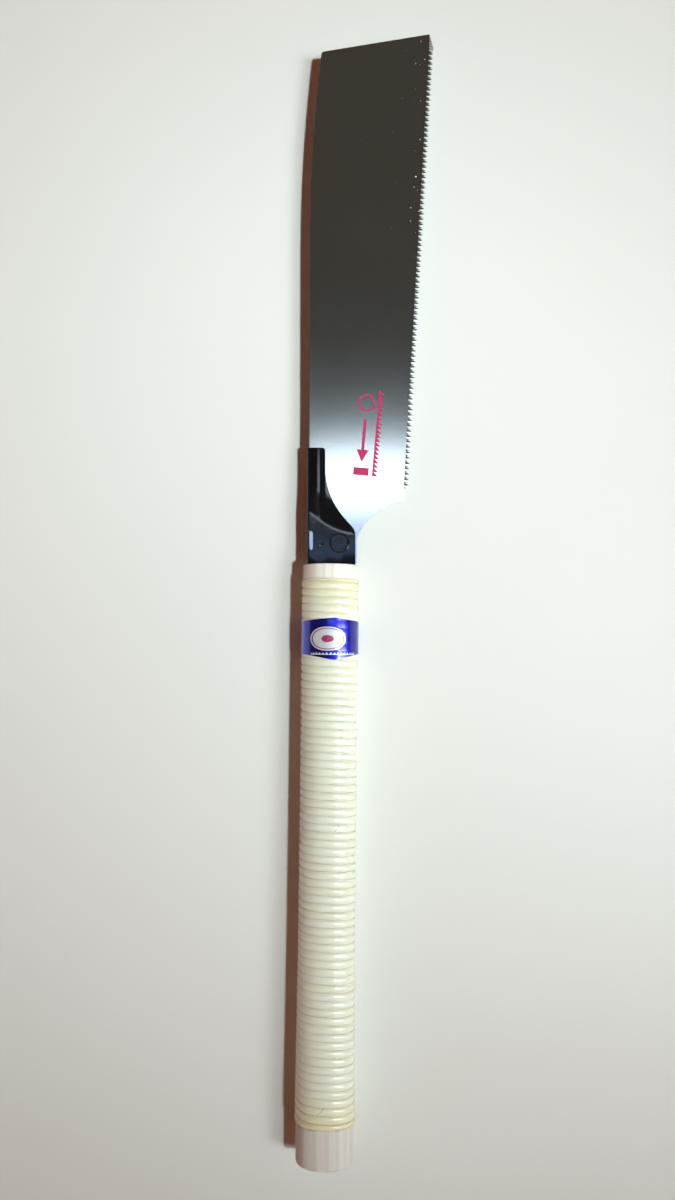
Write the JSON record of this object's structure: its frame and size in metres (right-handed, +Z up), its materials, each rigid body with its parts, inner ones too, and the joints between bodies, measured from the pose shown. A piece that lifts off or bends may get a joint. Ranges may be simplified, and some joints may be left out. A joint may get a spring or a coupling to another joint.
{
  "type": "kataba saw",
  "caption": "Single-edged pull saw with a replaceable blade hooked on a pin in a folded steel holder, and a straight oval handle wound with rattan.",
  "frame": {"origin": "on the surface the saw lies on, under the middle of its bounding box", "axes": "+Y from the butt to the blade's tip along the handle, +X towards the tooth side, +Z up, square to the blade"},
  "size_m": [0.0712, 0.6166, 0.0242],
  "materials": {
    "blade_steel": "bright rolled and polished plate",
    "holder_black": "black paint, semi-gloss",
    "pin_black": "black paint, semi-gloss",
    "handle_wood": "planed and sanded, unvarnished",
    "rattan": "split rattan, natural gloss",
    "label_foil": "glossy metallic foil"
  },
  "bodies": {
    "handle": {"blade_holder": "holder_black", "catch_pin": "pin_black", "handle_half_upper": "handle_wood", "handle_half_lower": "handle_wood", "rattan_wrap": "rattan", "label_band": "label_foil"},
    "blade": {"blade": "blade_steel"}
  },
  "joints": [
    {"name": "blade_swing", "type": "hinge", "parent": "handle", "child": "blade", "pos_m": [-0.01475, 0.01851, 0.01162], "axis": [0, 0, 1], "range_deg": [-12, 0]}
  ]
}
